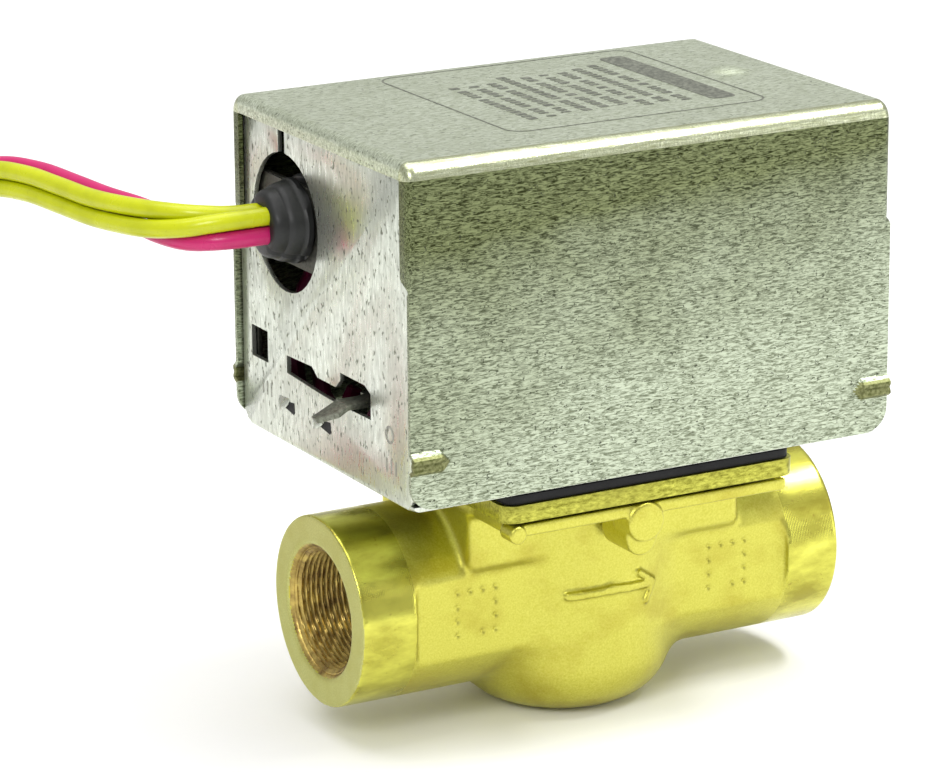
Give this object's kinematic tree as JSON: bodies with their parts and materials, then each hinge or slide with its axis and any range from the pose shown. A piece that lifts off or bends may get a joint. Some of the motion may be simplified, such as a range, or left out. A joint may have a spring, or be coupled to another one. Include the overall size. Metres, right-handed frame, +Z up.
{
  "type": "zone valve",
  "caption": "Straight-through motorised zone valve: threaded brass body under a sheet-metal motor head with a manual lever and wire leads.",
  "frame": {"origin": "centre of the flat foot under the brass body, in the plane of the surface it stands on", "axes": "+X along the pipe in the direction of flow, out of the outlet port; +Y to the back of the head; +Z up along the stem"},
  "size_m": [0.1708, 0.1252, 0.0998],
  "materials": {
    "cast_brass": "cast matte, with turned collars and machined end faces",
    "plate_brass": "rolled brass plate, satin",
    "galvanised_sheet": "galvanised sheet with rolling streaks and small dark pits",
    "plain_steel": "zinc-plated steel",
    "black_rubber": "moulded rubber",
    "black_plastic": "moulded nylon, matt",
    "white_nylon": "natural nylon",
    "copper": "enamelled copper winding and plated terminals",
    "yellow_insulation": "PVC wire insulation",
    "red_insulation": "PVC wire insulation"
  },
  "bodies": {
    "valve": {"valve_body": "cast_brass", "valve_plate": "plate_brass", "body_o_ring": "black_rubber", "head_gasket": "black_rubber", "base_frame": "galvanised_sheet", "return_spring": "plain_steel", "spring_post": "plain_steel", "motor_plate": "plain_steel", "gearbox_case": "galvanised_sheet", "idler_pin": "plain_steel", "bearing_plate": "plain_steel", "motor_coil": "copper", "motor_can": "plain_steel", "switch_bracket": "galvanised_sheet", "switch_body": "black_plastic", "switch_terminal_common": "copper", "switch_terminal_open": "copper", "lead_bracket": "galvanised_sheet", "strain_relief": "black_plastic", "lead_coil": "yellow_insulation", "lead_tie": "black_plastic", "plate_screw_1": "plate_brass", "plate_screw_2": "plate_brass", "plate_screw_3": "plate_brass", "plate_screw_4": "plate_brass", "head_screw_1": "plain_steel", "head_screw_2": "plain_steel", "head_screw_3": "plain_steel", "head_screw_4": "plain_steel", "motor_post_1": "plain_steel", "motor_post_2": "plain_steel", "motor_post_3": "plain_steel", "motor_post_4": "plain_steel", "motor_screw_1": "plain_steel", "motor_screw_2": "plain_steel", "switch_screw_1": "plain_steel", "switch_screw_2": "plain_steel", "lead_yellow_front": "yellow_insulation", "lead_yellow_rear": "yellow_insulation", "lead_red_rear": "red_insulation", "lead_red_front": "red_insulation", "inner_lead_yellow_front": "yellow_insulation", "inner_lead_yellow_rear": "yellow_insulation", "inner_lead_red_rear": "red_insulation", "inner_lead_red_front": "red_insulation"},
    "stem_assembly": {"stem": "plain_steel", "stem_o_ring_1": "black_rubber", "stem_o_ring_2": "black_rubber", "paddle_arm": "plain_steel", "ball_plug": "black_rubber", "sector_gear": "plain_steel", "stem_clip": "plain_steel", "lever_pin": "plain_steel"},
    "lever": {"manual_lever": "galvanised_sheet"},
    "output_drive": {"output_shaft": "plain_steel"},
    "idler": {"idler_gear": "white_nylon"},
    "rotor": {"motor_rotor": "black_plastic"},
    "plunger": {"switch_plunger": "white_nylon"},
    "cover": {"cover": "galvanised_sheet"}
  },
  "joints": [
    {"name": "valve_turn", "type": "hinge", "parent": "valve", "child": "stem_assembly", "pos_m": [0, 0.0065, 0.045], "axis": [0, 0, 1], "range_deg": [-25.5, 3.65]},
    {"name": "lever_lift", "type": "hinge", "parent": "stem_assembly", "child": "lever", "pos_m": [-0.0075, 0.00373, 0.0576], "axis": [-0.3468, 0.9379, 0], "range_deg": [0, 2.5]},
    {"name": "output_spin", "type": "hinge", "parent": "valve", "child": "output_drive", "pos_m": [0.02649, -0.0053, 0.058], "axis": [0, 0, 1], "range_deg": [-20, 125]},
    {"name": "idler_spin", "type": "hinge", "parent": "valve", "child": "idler", "pos_m": [0.02256, 0.00444, 0.066], "axis": [0, 0, 1], "range_deg": [-250, 40]},
    {"name": "rotor_spin", "type": "hinge", "parent": "valve", "child": "rotor", "pos_m": [0.01304, 0, 0.078], "axis": [0, 0, 1], "range_deg": [-75, 495]},
    {"name": "plunger_press", "type": "slide", "parent": "valve", "child": "plunger", "axis": [-1, 0, 0], "range_m": [-0.0012, 0.0002]},
    {"name": "cover_lift", "type": "slide", "parent": "valve", "child": "cover", "axis": [0, 0, 1], "range_m": [0, 0.06]}
  ],
  "couplings": [
    {"joint": "output_spin", "follows": "valve_turn", "ratio": -4.8},
    {"joint": "idler_spin", "follows": "valve_turn", "ratio": 9.6},
    {"joint": "rotor_spin", "follows": "valve_turn", "ratio": -19.2},
    {"joint": "plunger_press", "follows": "valve_turn", "m_per_rad": 0.0025}
  ]
}
